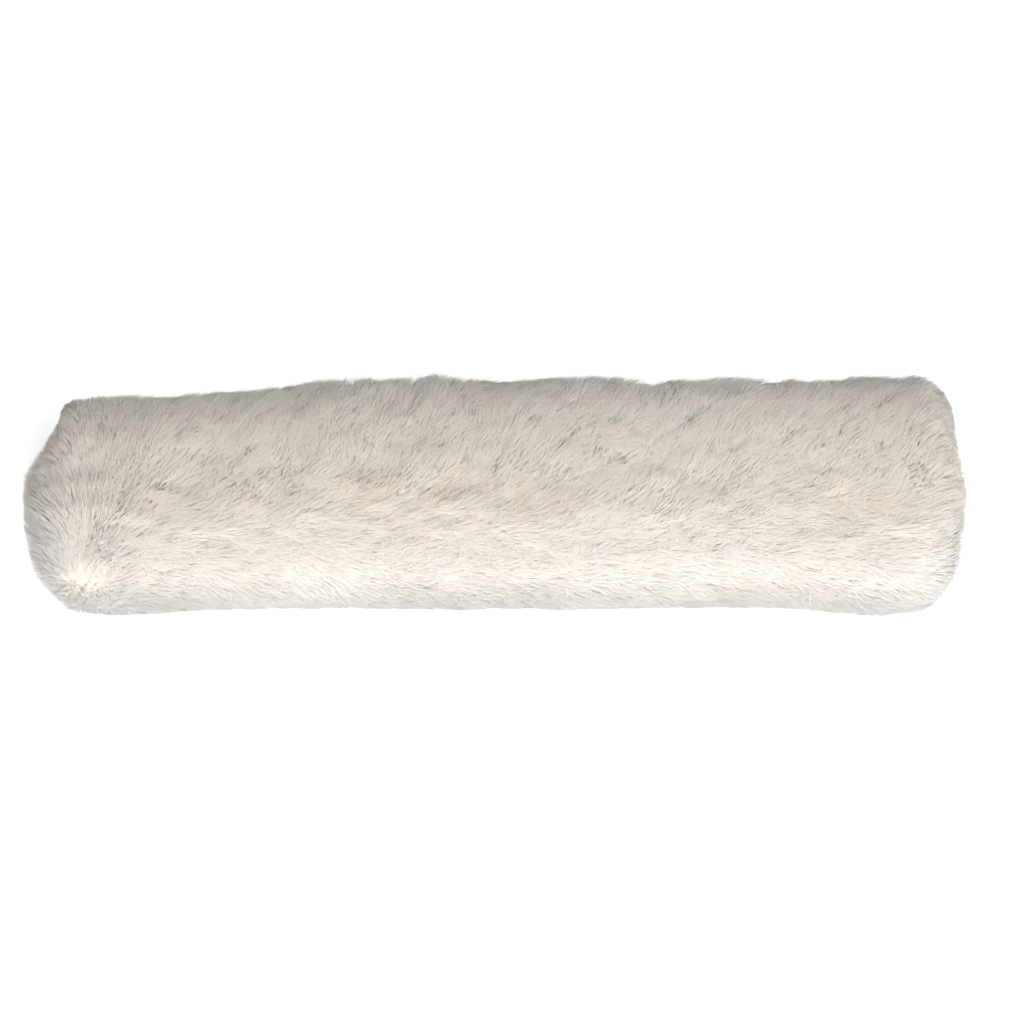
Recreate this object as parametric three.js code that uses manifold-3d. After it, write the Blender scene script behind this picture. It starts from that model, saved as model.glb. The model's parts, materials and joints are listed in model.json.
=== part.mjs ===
// A short saddle girth inside its sheepskin sleeve.
//
// The sleeve is one sheepskin, wool outwards, folded round the girth. Its fold runs along the front
// edge, and its two back edges meet in a flat lip that hook-and-loop tape closes. The girth inside is a
// padded leather body with an elastic band at each end, and each band ends in a leather tab that holds
// two roller buckles. The buckles lie just past the ends of the hide, inside the mouths of the wool.
//
// Millimetres. X runs along the girth, -Y is the fold, +Y is the closed lip and +Z is up. The origin
// is on the surface that the sleeve lies on, under the middle of its box.
import * as THREE from "three";
import { mergeVertices } from "three/addons/utils/BufferGeometryUtils.js";
import Module from "manifold-3d";

const wasm = await Module();
wasm.setup();

// ---- driving dimensions ----

const LENGTH = 680; // over the wool
const DEPTH = 170; // over the wool, front to back
const MID_Z = 40; // height of the plane where the sleeve's halves meet
const TOP_Z = 84; // top of the upper wool

const GAP = 0.3; // between neighbours that touch
const HALF_GAP = 0.2; // from each half of the sleeve to the plane where they meet

// sleeve
const HIDE_LENGTH = 600;
const HIDE = 2; // thickness
const FOLD_Y = -58; // fold line, and the flap's hinge
const CHANNEL_HALF_HEIGHT = 13;
const CHANNEL_BACK_Y = 30;
const LIP_END_Y = 58;
const PILE = DEPTH / 2 - LIP_END_Y; // wool past the fold and past the lip
const BACK_TAPER = 16; // the wool behind the lip is this much shorter at the left end
const WOOL_END_ROUND = 18; // the wool's outside curves in over this length at each end
const WOOL_END_SHARE = 0.4; // to this share of its thickness
const TAPE = 1.2; // hook tape and loop tape, each
const TAPE_MARGIN = 5;
const LIP_Z = TAPE + HALF_GAP + GAP; // from the meeting plane to the lip
const BINDING_LENGTH = 2;
const BINDING_PROUD = 0.8; // the binding stands this far past the hide's inner face

// girth body
const BODY_LENGTH = 410;
const BODY_WIDTH = 80;
const LINING = 1.6;
const OUTER_LEATHER = 3;
const PAD_WIDTH = 76;
const WEB_LENGTH = 338;
const WEB_WIDTH = 50;
const WEB = 2;
const RIM_Z = 6.3; // top of the lining's sides, from the girth's middle plane
const FLOOR_Z = -10; // underside of the lining, from the same plane
const PAD_MIDDLE_Z = 1.9; // the pads stop this far from the middle plane

// elastic bands and tabs
const ELASTIC = 2.8;
const ELASTIC_WIDTH = 70;
const ELASTIC_START = WEB_LENGTH / 2 + 1;
const ELASTIC_END = 281;
const TAB_START = 259;
const TAB_END = 297;
const TAB_WIDTH = 73;
const TAB = 2;
const TAB_Z = ELASTIC / 2 + GAP;

// roller buckles
const BUCKLE_Y = 19.5; // each buckle's middle, from the girth's middle
const ROLLER_R = 3.6;
const ROLLER_BORE_R = 2.5;
const END_ROD_R = 2;
const BAR_X = 306;
const ROLLER_X = BAR_X + 24;
const BAR_R = 2.4;
const WINDOW_WIDTH = 25.4; // between the frame's side rails
const RAIL = 3.8;
const RAIL_HALF_HEIGHT = 3;
const TONGUE_WIDTH = 5;
const TONGUE_EYE_R = 4.8;
const TONGUE_BORE_R = 2.9;
const CHAPE_WIDTH = 24.6;
const CHAPE_LOOP_R = 5;
const CHAPE_BORE_R = 3;
const CHAPE_SLOT = 7;
const CHAPE_START = ELASTIC_END + 1;

// keepers
const KEEPER_X = 265;
const KEEPER_LENGTH = 10;
const KEEPER_HALF_WIDTH = 15.6;
const KEEPER_WALL = 1.6;
const KEEPER_FOOT = 1.2;
const KEEPER_WINDOW_HEIGHT = 4.8;

const CHANNEL_FRONT_Y = FOLD_Y + HALF_GAP + HIDE;
const GIRTH_Y = (CHANNEL_FRONT_Y + CHANNEL_BACK_Y) / 2;

// ---- materials ----

const finish = (color, roughness, metalness = 0) =>
  new THREE.MeshStandardMaterial({ color, roughness, metalness });

const wool = finish(0xe9e2d6, 0.95);
const suede = finish(0xd8c5a4, 0.9);
const leather = finish(0x4a2c1a, 0.5);
const tape = finish(0xe4dccb, 0.85);
const foam = finish(0xcfc9bb, 0.9);
const webbing = finish(0xcdbf9f, 0.8);
const elastic = finish(0xd9cdb4, 0.8);
const steel = finish(0xc4c6c8, 0.25, 1);

// ---- shapes ----

// A closed outline through [x, y, radius] corners, each rounded to its radius.
function outline(corners) {
  const shape = new THREE.Shape();
  const at = (i) => corners[(i + corners.length) % corners.length];
  const towards = (from, to, distance) => {
    const length = Math.hypot(to[0] - from[0], to[1] - from[1]);
    return from.slice(0, 2).map((value, k) => value + ((to[k] - value) * distance) / length);
  };
  corners.forEach((corner, i) => {
    const radius = corner[2] ?? 0;
    const entry = radius ? towards(corner, at(i - 1), radius) : corner;
    if (i === 0) shape.moveTo(entry[0], entry[1]);
    else shape.lineTo(entry[0], entry[1]);
    if (radius) shape.quadraticCurveTo(corner[0], corner[1], ...towards(corner, at(i + 1), radius));
  });
  shape.closePath();
  return shape;
}

function rectangle(x0, y0, x1, y1, radius = 0) {
  return outline([
    [x0, y0, radius],
    [x1, y0, radius],
    [x1, y1, radius],
    [x0, y1, radius],
  ]);
}

const extrude = (shape, depth, curveSegments = 4) =>
  new THREE.ExtrudeGeometry(shape, { depth, bevelEnabled: false, curveSegments });

// An outline drawn in (y, z), from x0 to x1.
function alongX(shape, x0, x1, curveSegments) {
  const turn = new THREE.Matrix4().makeBasis(
    new THREE.Vector3(0, 1, 0),
    new THREE.Vector3(0, 0, 1),
    new THREE.Vector3(1, 0, 0),
  );
  return extrude(shape, x1 - x0, curveSegments).applyMatrix4(turn).translate(x0, 0, 0);
}

// An outline drawn in (x, z), from y0 to y1.
const alongY = (shape, y0, y1, curveSegments) =>
  extrude(shape, y1 - y0, curveSegments).rotateX(Math.PI / 2).translate(0, y1, 0);

// An outline drawn in (x, y), from z0 to z1.
const alongZ = (shape, z0, z1, curveSegments) =>
  extrude(shape, z1 - z0, curveSegments).translate(0, 0, z0);

// A rod along Y.
const rod = (x, radius, y0, y1) =>
  new THREE.CylinderGeometry(radius, radius, y1 - y0, 20).translate(x, (y0 + y1) / 2, 0);

// A closed skin over outlines of [y, z] points, one at each x, all with as many points.
function loftX(stations, outlineAt) {
  const rings = stations.map((x) => outlineAt(x).map(([y, z]) => [x, y, z]));
  const count = rings[0].length;
  const index = [];
  for (let i = 0; i < rings.length - 1; i++)
    for (let k = 0; k < count; k++) {
      const next = (k + 1) % count;
      const [a, b] = [i * count + k, i * count + next];
      index.push(a, b + count, a + count, a, b, b + count);
    }
  const faces = (ring) =>
    THREE.ShapeUtils.triangulateShape(ring.map(([, y, z]) => new THREE.Vector2(y, z)), []);
  const last = (rings.length - 1) * count;
  for (const [a, b, c] of faces(rings[0])) index.push(a, c, b);
  for (const [a, b, c] of faces(rings.at(-1))) index.push(last + a, last + b, last + c);
  const geometry = new THREE.BufferGeometry();
  geometry.setAttribute("position", new THREE.Float32BufferAttribute(rings.flat(2), 3));
  geometry.setIndex(index);
  return geometry.toNonIndexed();
}

// ---- joining and cutting ----

function solid(geometry) {
  const bare = geometry.clone();
  bare.deleteAttribute("normal");
  bare.deleteAttribute("uv");
  const merged = mergeVertices(bare, 1e-4);
  return new wasm.Manifold(
    new wasm.Mesh({
      numProp: 3,
      vertProperties: merged.attributes.position.array,
      triVerts: new Uint32Array(merged.index.array),
    }),
  );
}

function geometryOf(manifold) {
  const { vertProperties, triVerts } = manifold.getMesh();
  const geometry = new THREE.BufferGeometry();
  geometry.setAttribute("position", new THREE.Float32BufferAttribute(vertProperties, 3));
  geometry.setIndex(Array.from(triVerts));
  const flat = geometry.toNonIndexed();
  flat.computeVertexNormals();
  return flat;
}

const union = (geometries) =>
  geometryOf(geometries.map(solid).reduce((whole, next) => whole.add(next)));

const cut = (geometry, tool) => geometryOf(solid(geometry).subtract(solid(tool)));

function mesh(name, geometry, material) {
  const part = new THREE.Mesh(geometry, material);
  part.name = name;
  return part;
}

// ---- the sleeve, in a frame whose z is 0 in the plane where its halves meet ----

// Places along x for the sections of a rounded end, from the wool's end inwards.
const ROUNDING = [0, 0.12, 0.35, 0.65, 1].map((share) => LENGTH / 2 - share * WOOL_END_ROUND);

const WHOLE_LENGTH = [...ROUNDING.map((x) => -x), -LENGTH / 4, 0, LENGTH / 4, ...ROUNDING.toReversed()];
const HIDE_STATIONS = [-1, -0.5, 0, 0.5, 1].map((share) => (share * HIDE_LENGTH) / 2);
const FRINGE_STATIONS = {
  left: [...ROUNDING.map((x) => -x), -HIDE_LENGTH / 2 - GAP],
  right: [HIDE_LENGTH / 2 + GAP, ...ROUNDING.toReversed()],
};

// Where the wool's outside lies, which draws in towards the hide near an end of the sleeve.
function woolReach(x, hideAt, woolAt) {
  const inside = Math.min(1, (LENGTH / 2 - Math.abs(x)) / WOOL_END_ROUND);
  const full = Math.sqrt(1 - (1 - inside) ** 2);
  return hideAt + (woolAt - hideAt) * (WOOL_END_SHARE + (1 - WOOL_END_SHARE) * full);
}

// How far the wool reaches behind the lip.
const backWool = (x) => DEPTH / 2 - BACK_TAPER * Math.max(0, -x / (LENGTH / 2)) ** 2;

// Points on a quarter ellipse, from straight out in y to straight out in z.
function quarter(centreY, radiusY, radiusZ, steps = 8) {
  const points = [];
  for (let i = 0; i <= steps; i++) {
    const angle = (Math.PI / 2) * (i / steps);
    points.push([centreY + radiusY * Math.cos(angle), radiusZ * Math.sin(angle)]);
  }
  return points;
}

const HIDE_OUTSIDE = CHANNEL_HALF_HEIGHT + HIDE;
const ROUND_START_Y = 40; // the wool's flat ends and its round back begins here

// Half of the sleeve's wool in section, as if it were the upper half.
function woolSection(x, fullHeight) {
  const height = woolReach(x, HIDE_OUTSIDE, fullHeight);
  const back = woolReach(x, LIP_END_Y, backWool(x)) - ROUND_START_Y;
  const rounded = quarter(ROUND_START_Y, back, height - HALF_GAP)
    .map(([y, z]) => [y, z + HALF_GAP]);
  return [
    ...rounded,
    [FOLD_Y + HALF_GAP, height],
    [FOLD_Y + HALF_GAP, HIDE_OUTSIDE + GAP],
    [CHANNEL_BACK_Y + HIDE + GAP, HIDE_OUTSIDE + GAP],
    [CHANNEL_BACK_Y + HIDE + GAP, LIP_Z + HIDE + GAP],
    [LIP_END_Y + GAP, LIP_Z + HIDE + GAP],
    [LIP_END_Y + GAP, HALF_GAP],
  ];
}

const upsideDown = (points) => points.map(([y, z]) => [y, -z]).reverse();

const upperWool = (stations) => loftX(stations, (x) => woolSection(x, TOP_Z - MID_Z));

const lowerWool = () => loftX(WHOLE_LENGTH, (x) => upsideDown(woolSection(x, MID_Z)));

// The wool round the fold, in front of the hinge.
function foldWool() {
  const clearOfHalves = FOLD_Y - GAP;
  const clearOfEdge = 0.5;
  return loftX(WHOLE_LENGTH, (x) => {
    const out = woolReach(x, 0, PILE) - GAP;
    const over = quarter(0, out, woolReach(x, HIDE_OUTSIDE, TOP_Z - MID_Z) - clearOfEdge);
    const under = quarter(0, out, woolReach(x, HIDE_OUTSIDE, MID_Z) - clearOfEdge).slice(1);
    return [...over.reverse(), ...under.map(([y, z]) => [y, -z])]
      .map(([y, z]) => [clearOfHalves - y, z]);
  });
}

// Half of the hide in section, as if it were the upper half, with its inner face proud by so much.
function hideSection(side, proud = 0) {
  const front = FOLD_Y + HALF_GAP;
  const inside = CHANNEL_HALF_HEIGHT - proud;
  const corners = [
    [front, HALF_GAP],
    [front, HIDE_OUTSIDE, 5],
    [CHANNEL_BACK_Y + HIDE, HIDE_OUTSIDE, 5],
    [CHANNEL_BACK_Y + HIDE, LIP_Z + HIDE],
    [LIP_END_Y, LIP_Z + HIDE],
    [LIP_END_Y, LIP_Z - proud],
    [CHANNEL_BACK_Y - proud, LIP_Z - proud],
    [CHANNEL_BACK_Y - proud, inside, 3],
    [front + HIDE + proud, inside, 3],
    [front + HIDE + proud, HALF_GAP],
  ];
  return outline(corners.map(([y, z, radius]) => [y, side * z, radius]));
}

const hide = (side) => alongX(hideSection(side), -HIDE_LENGTH / 2, HIDE_LENGTH / 2);

function binding(side, end) {
  const near = HIDE_LENGTH / 2 + GAP;
  const [x0, x1] = [end * near, end * (near + BINDING_LENGTH)].sort((a, b) => a - b);
  return alongX(hideSection(side, BINDING_PROUD), x0, x1);
}

function closureTape(side) {
  const half = HIDE_LENGTH / 2 - TAPE_MARGIN;
  const [z0, z1] = [side * HALF_GAP, side * (HALF_GAP + TAPE)].sort((a, b) => a - b);
  return alongX(rectangle(CHANNEL_BACK_Y + HIDE, z0, LIP_END_Y - HALF_GAP, z1), -half, half);
}

function sleeve() {
  const group = new THREE.Group();
  group.position.z = MID_Z;
  group.add(
    mesh("sleeve_upper_wool", upperWool(HIDE_STATIONS), wool),
    mesh("sleeve_upper_left_fringe", upperWool(FRINGE_STATIONS.left), wool),
    mesh("sleeve_upper_right_fringe", upperWool(FRINGE_STATIONS.right), wool),
    mesh("sleeve_lower_wool", lowerWool(), wool),
    mesh("sleeve_fold_wool", foldWool(), wool),
    mesh("sleeve_loop_tape", closureTape(1), tape),
    mesh("sleeve_hook_tape", closureTape(-1), tape),
  );
  for (const [half, side] of [["upper", 1], ["lower", -1]]) {
    group.add(mesh(`sleeve_${half}_hide`, hide(side), suede));
    for (const [end, direction] of [["left", -1], ["right", 1]])
      group.add(mesh(`sleeve_${half}_${end}_binding`, binding(side, direction), tape));
  }
  return group;
}

// ---- the girth, in a frame at the middle of the sleeve's channel ----

function layer(width, length, z0, z1, radius = 1) {
  return alongX(rectangle(-width / 2, z0, width / 2, z1, radius), -length / 2, length / 2, 2);
}

// The soft leather against the horse, which wraps up the sides of the pads.
function lining() {
  const half = BODY_WIDTH / 2;
  const section = outline([
    [-half, RIM_Z],
    [-half, FLOOR_Z, 6],
    [half, FLOOR_Z, 6],
    [half, RIM_Z],
    [half - LINING, RIM_Z],
    [half - LINING, FLOOR_Z + LINING, 4],
    [LINING - half, FLOOR_Z + LINING, 4],
    [LINING - half, RIM_Z],
  ]);
  return alongX(section, -BODY_LENGTH / 2, BODY_LENGTH / 2);
}

function outerLeather() {
  const [x, y] = [BODY_LENGTH / 2 + 1, BODY_WIDTH / 2 + 0.5];
  const cornerRadius = 12;
  return alongZ(rectangle(-x, -y, x, y, cornerRadius), RIM_Z + GAP, RIM_Z + GAP + OUTER_LEATHER);
}

function girthBody() {
  const group = new THREE.Group();
  const padLength = BODY_LENGTH - 2;
  const padFloor = FLOOR_Z + LINING + GAP;
  group.add(
    mesh("girth_lining", lining(), leather),
    mesh("girth_lower_pad", layer(PAD_WIDTH, padLength, padFloor, -PAD_MIDDLE_Z, 3), foam),
    mesh("girth_web", layer(WEB_WIDTH, WEB_LENGTH, -WEB / 2, WEB / 2, 0.8), webbing),
    mesh("girth_upper_pad", layer(PAD_WIDTH, padLength, PAD_MIDDLE_Z, RIM_Z), foam),
    mesh("girth_outer_leather", outerLeather(), leather),
  );
  return group;
}

// ---- one end of the girth, drawn for the right end, with x outwards ----

function elasticBand() {
  const half = [ELASTIC_WIDTH / 2, ELASTIC / 2];
  return alongX(rectangle(-half[0], -half[1], half[0], half[1], 1), ELASTIC_START, ELASTIC_END, 2);
}

function tab(side) {
  const half = TAB_WIDTH / 2;
  const [z0, z1] = [side * TAB_Z, side * (TAB_Z + TAB)].sort((a, b) => a - b);
  return alongZ(rectangle(TAB_START, -half, TAB_END, half, 4), z0, z1);
}

// The folded strap that holds a buckle's bar, slotted for the tongue.
function chape() {
  const tail = ELASTIC / 2;
  const meets = Math.asin(tail / CHAPE_LOOP_R);
  const side = new THREE.Shape();
  side.moveTo(CHAPE_START, -tail);
  side.absarc(BAR_X, 0, CHAPE_LOOP_R, meets - Math.PI, Math.PI - meets, false);
  side.lineTo(CHAPE_START, tail);
  side.closePath();
  side.holes.push(new THREE.Path().absarc(BAR_X, 0, CHAPE_BORE_R, 0, Math.PI * 2, true));
  const loop = alongY(side, -CHAPE_WIDTH / 2, CHAPE_WIDTH / 2, 10);
  const slotStart = BAR_X - CHAPE_LOOP_R - 1.5;
  const slot = new THREE.BoxGeometry(2 * CHAPE_LOOP_R + 4, CHAPE_SLOT, 4 * CHAPE_LOOP_R);
  slot.translate(slotStart + CHAPE_LOOP_R + 2, 0, 0);
  return cut(loop, slot);
}

function buckleFrame() {
  const inner = WINDOW_WIDTH / 2;
  const rail = outline([
    [BAR_X - RAIL_HALF_HEIGHT, -RAIL_HALF_HEIGHT, RAIL_HALF_HEIGHT - 0.1],
    [ROLLER_X + RAIL_HALF_HEIGHT, -RAIL_HALF_HEIGHT, RAIL_HALF_HEIGHT - 0.1],
    [ROLLER_X + RAIL_HALF_HEIGHT, RAIL_HALF_HEIGHT, RAIL_HALF_HEIGHT - 0.1],
    [BAR_X - RAIL_HALF_HEIGHT, RAIL_HALF_HEIGHT, RAIL_HALF_HEIGHT - 0.1],
  ]);
  const sunk = inner + RAIL / 2; // the rods end inside the rails
  return union([
    alongY(rail, inner, inner + RAIL),
    alongY(rail, -inner - RAIL, -inner),
    rod(BAR_X, BAR_R, -sunk, sunk),
    rod(ROLLER_X, END_ROD_R, -sunk, sunk),
  ]);
}

function roller() {
  const half = WINDOW_WIDTH / 2 - 0.5;
  const profile = [
    [ROLLER_BORE_R, -half],
    [ROLLER_R, -half],
    [ROLLER_R, half],
    [ROLLER_BORE_R, half],
    [ROLLER_BORE_R, -half],
  ].map(([r, y]) => new THREE.Vector2(r, y));
  return new THREE.LatheGeometry(profile, 20).translate(ROLLER_X, 0, 0);
}

// The tongue turns on the buckle's bar and lies on top of the roller.
function tongue() {
  const restZ = ROLLER_R + GAP;
  const tipX = ROLLER_X + 2;
  const tipZ = restZ + 2.4;
  const side = new THREE.Shape();
  side.absarc(BAR_X, 0, TONGUE_EYE_R, Math.PI / 2, Math.PI * 2 + 0.35, false);
  side.lineTo(ROLLER_X - ROLLER_R, restZ);
  side.lineTo(tipX, restZ);
  side.quadraticCurveTo(tipX + 1.2, tipZ, tipX - 1, tipZ);
  side.lineTo(BAR_X + 8, TONGUE_EYE_R + 0.6);
  side.closePath();
  side.holes.push(new THREE.Path().absarc(BAR_X, 0, TONGUE_BORE_R, 0, Math.PI * 2, true));
  return alongY(side, -TONGUE_WIDTH / 2, TONGUE_WIDTH / 2, 10);
}

// A leather loop on the tab, for the loose end of a billet strap.
function keeper() {
  const [z0, half] = [TAB_Z + TAB + GAP, KEEPER_HALF_WIDTH];
  const [w0, w1] = [z0 + KEEPER_FOOT, z0 + KEEPER_FOOT + KEEPER_WINDOW_HEIGHT];
  const ring = rectangle(-half, z0, half, w1 + KEEPER_WALL, 2);
  ring.holes.push(rectangle(KEEPER_WALL - half, w0, half - KEEPER_WALL, w1, 1));
  return alongX(ring, KEEPER_X, KEEPER_X + KEEPER_LENGTH);
}

function girthEnd(end) {
  const group = new THREE.Group();
  group.rotation.z = end === "right" ? 0 : Math.PI;
  group.add(
    mesh(`${end}_elastic`, elasticBand(), elastic),
    mesh(`${end}_upper_tab`, tab(1), leather),
    mesh(`${end}_lower_tab`, tab(-1), leather),
  );
  for (const place of ["front", "back"]) {
    const towardsFront = (place === "front") === (end === "right");
    const buckle = new THREE.Group();
    buckle.position.y = towardsFront ? -BUCKLE_Y : BUCKLE_Y;
    buckle.add(
      mesh(`${end}_${place}_chape`, chape(), leather),
      mesh(`${end}_${place}_keeper`, keeper(), leather),
      mesh(`${end}_${place}_buckle_frame`, buckleFrame(), steel),
      mesh(`${end}_${place}_buckle_roller`, roller(), steel),
      mesh(`${end}_${place}_buckle_tongue`, tongue(), steel),
    );
    group.add(buckle);
  }
  return group;
}

function girth() {
  const group = new THREE.Group();
  group.position.set(0, GIRTH_Y, MID_Z);
  group.add(girthBody(), girthEnd("left"), girthEnd("right"));
  return group;
}

const saddleGirth = new THREE.Group();
saddleGirth.add(sleeve(), girth());

export default saddleGirth;
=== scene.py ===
"""A short saddle girth in its sheepskin sleeve, lying on a white table.

The sleeve is a folded sheepskin, wool outwards. Its wool is made of a soft body, which follows the
space that the CAD wool holds, and of many thousands of fine locks that grow from it and lean together
in tufts. Inside lie the hide, its hook-and-loop closure and a leather girth with four roller buckles.

Lengths are in metres in the part's own frame: X along the girth, -Y the fold, +Z up.
"""

import json
import math

import bmesh
import bpy
import numpy as np
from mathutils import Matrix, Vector


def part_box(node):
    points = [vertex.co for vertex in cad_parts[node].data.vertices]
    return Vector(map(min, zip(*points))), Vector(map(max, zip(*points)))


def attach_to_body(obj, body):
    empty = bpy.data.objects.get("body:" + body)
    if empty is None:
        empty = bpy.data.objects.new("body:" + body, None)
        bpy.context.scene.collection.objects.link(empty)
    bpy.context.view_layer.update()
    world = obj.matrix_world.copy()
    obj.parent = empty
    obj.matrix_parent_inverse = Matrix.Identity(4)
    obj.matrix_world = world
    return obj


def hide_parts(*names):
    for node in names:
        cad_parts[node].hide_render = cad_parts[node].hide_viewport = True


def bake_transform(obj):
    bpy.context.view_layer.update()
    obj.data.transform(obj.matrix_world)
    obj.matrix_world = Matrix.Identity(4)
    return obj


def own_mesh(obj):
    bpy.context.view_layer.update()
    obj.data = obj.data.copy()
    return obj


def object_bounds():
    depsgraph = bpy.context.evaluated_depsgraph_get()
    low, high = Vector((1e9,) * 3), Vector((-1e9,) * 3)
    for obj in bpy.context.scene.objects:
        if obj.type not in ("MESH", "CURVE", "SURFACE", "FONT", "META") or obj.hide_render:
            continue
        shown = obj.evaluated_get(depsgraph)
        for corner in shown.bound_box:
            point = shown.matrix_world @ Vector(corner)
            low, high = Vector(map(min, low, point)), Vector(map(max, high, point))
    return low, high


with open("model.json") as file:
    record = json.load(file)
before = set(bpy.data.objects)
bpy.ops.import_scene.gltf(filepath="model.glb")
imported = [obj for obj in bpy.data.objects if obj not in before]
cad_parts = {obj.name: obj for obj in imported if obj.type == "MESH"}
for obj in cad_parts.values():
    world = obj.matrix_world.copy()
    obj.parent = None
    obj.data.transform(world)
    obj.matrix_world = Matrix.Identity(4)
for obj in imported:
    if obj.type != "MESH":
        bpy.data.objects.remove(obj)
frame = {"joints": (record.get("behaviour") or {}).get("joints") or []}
CAD_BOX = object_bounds()

MM = 0.001

# ---- places, from the frame ----


def joint_place(name):
    return next(j for j in frame["joints"] if j["name"] == name)["pos_m"]


_, FOLD_Y, MID_Z = joint_place("flap_hinge")

LOW, HIGH = CAD_BOX
HALF_LENGTH = HIGH[0]
FRONT_REACH = -LOW[1]
BACK_REACH = HIGH[1]
TOP = HIGH[2] - MID_Z
BOTTOM = MID_Z - LOW[2]

hide_low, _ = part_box("sleeve_lower_hide")
_, hide_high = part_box("sleeve_upper_hide")
HIDE_FRONT = hide_low[1]
HIDE_HALF_LENGTH = hide_high[0]
HIDE_HALF_DEPTH = hide_high[1]
HIDE_HALF_HEIGHT = hide_high[2] - MID_Z


# ---- camera, light and table ----


ELEVATION = math.radians(70)
VIEW_WIDTH = 2.17 * HALF_LENGTH  # that the picture takes in at the sleeve's middle
VIEW_SHIFT = (0.0166, -0.0195)  # of the picture's width, which puts the sleeve where the photo has it
TABLE_HALF = 6
TABLE_GAP = 0.2 * MM  # between the table and the part's base


def look_at_the_middle(made, away, distance):
    """Puts a camera or a light at a distance from the sleeve's middle, facing it."""
    away = Vector(away).normalized()
    made.location = Vector((0, 0, MID_Z)) + away * distance
    made.rotation_euler = (-away).to_track_quat("-Z", "Y").to_euler()
    bpy.context.scene.collection.objects.link(made)


def make_camera():
    """The view from the front and above, with the sleeve across the whole picture."""
    data = bpy.data.cameras.new("camera")
    data.lens = 150
    data.shift_x, data.shift_y = VIEW_SHIFT
    data.clip_end = 20
    camera = bpy.data.objects.new("camera", data)
    away = (0, -math.cos(ELEVATION), math.sin(ELEVATION))
    look_at_the_middle(camera, away, VIEW_WIDTH * data.lens / data.sensor_width)
    bpy.context.scene.camera = camera


def area_light(name, direction, distance, size, power, colour=(1, 1, 1)):
    data = bpy.data.lights.new(name, "AREA")
    data.shape = "DISK"
    data.size = size
    data.energy = power
    data.color = colour
    look_at_the_middle(bpy.data.objects.new(name, data), direction, distance)


def make_light():
    """A large soft light low in front, so that the far side falls into a soft shade."""
    area_light("key", (0.16, -1, 0.85), 2.2, 1.4, 44, (1, 0.975, 0.93))
    area_light("fill", (0.4, -0.34, 1), 2.4, 2.4, 21)
    world = bpy.data.worlds.new("studio")
    world.use_nodes = True
    background = world.node_tree.nodes["Background"]
    background.inputs["Color"].default_value = (0.93, 0.96, 1, 1)
    background.inputs["Strength"].default_value = 0.45
    bpy.context.scene.world = world
    bpy.context.scene.view_settings.view_transform = "Standard"
    bpy.context.scene.cycles.diffuse_bounces = 8


def lit_table_material():
    """White, and lit a little from within, so that it stays white in the sleeve's shade."""
    material, _, shader = new_material("table")
    shader.inputs["Base Color"].default_value = (0.95, 0.95, 0.95, 1)
    shader.inputs["Roughness"].default_value = 0.9
    shader.inputs["Emission Color"].default_value = (1, 1, 1, 1)
    shader.inputs["Emission Strength"].default_value = 0.5
    return material


def make_table():
    corners = [(-1, -1, 0), (1, -1, 0), (1, 1, 0), (-1, 1, 0)]
    points = TABLE_HALF * np.array(corners, float)
    table = mesh_object("table", points, [(0, 1, 2, 3)], lit_table_material())
    table.location.z = -TABLE_GAP


# ---- meshes ----


def linked(name, mesh):
    made = bpy.data.objects.new(name, mesh)
    bpy.context.scene.collection.objects.link(made)
    return made


def mesh_object(name, points, faces, material):
    mesh = bpy.data.meshes.new(name)
    mesh.from_pydata([tuple(p) for p in points], [], faces)
    face_outwards(mesh)
    mesh.polygons.foreach_set("use_smooth", [True] * len(mesh.polygons))
    mesh.materials.append(material)
    mesh.update()
    return linked(name, mesh)


def face_outwards(mesh):
    sides = bmesh.new()
    sides.from_mesh(mesh)
    bmesh.ops.recalc_face_normals(sides, faces=sides.faces)
    sides.to_mesh(mesh)
    sides.free()


def triangle_mesh(name, points, triangles, material):
    """A smooth mesh of many triangles, made quickly."""
    mesh = bpy.data.meshes.new(name)
    mesh.vertices.add(len(points))
    mesh.vertices.foreach_set("co", points.astype(np.float32).ravel())
    mesh.loops.add(triangles.size)
    mesh.loops.foreach_set("vertex_index", triangles.astype(np.int32).ravel())
    mesh.polygons.add(len(triangles))
    mesh.polygons.foreach_set("loop_start", np.arange(0, triangles.size, 3, dtype=np.int32))
    mesh.update(calc_edges=True)
    mesh.polygons.foreach_set("use_smooth", np.ones(len(triangles), bool))
    mesh.materials.append(material)
    return linked(name, mesh)


def point_values(made, name, values):
    """Stores one number for each point of a mesh, for its material to read."""
    attribute = made.data.attributes.new(name, "FLOAT", "POINT")
    attribute.data.foreach_set("value", values.astype(np.float32))


def soft_normals(made, normals):
    """Makes a mesh take the light as if it faced these ways, one for each of its points."""
    attribute = made.data.attributes.new("custom_normal", "FLOAT_VECTOR", "POINT")
    attribute.data.foreach_set("vector", normals.astype(np.float32).ravel())


# ---- materials ----


def new_material(name):
    material = bpy.data.materials.new(name)
    material.use_nodes = True
    return material, material.node_tree, material.node_tree.nodes["Principled BSDF"]


def mix_colours(tree, factor, low, high):
    """A colour between low and high. The factor and both colours may each be a socket or a value."""
    mix = tree.nodes.new("ShaderNodeMix")
    mix.data_type = "RGBA"
    sockets = [s for s in mix.inputs if s.enabled]
    for socket, value in zip(sockets, (factor, low, high)):
        if isinstance(value, bpy.types.NodeSocket):
            tree.links.new(value, socket)
        elif isinstance(value, tuple):
            socket.default_value = (*value, 1)
        else:
            socket.default_value = value
    return next(s for s in mix.outputs if s.enabled)


def read_value(tree, name):
    node = tree.nodes.new("ShaderNodeAttribute")
    node.attribute_name = name
    return node.outputs["Fac"]


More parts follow.
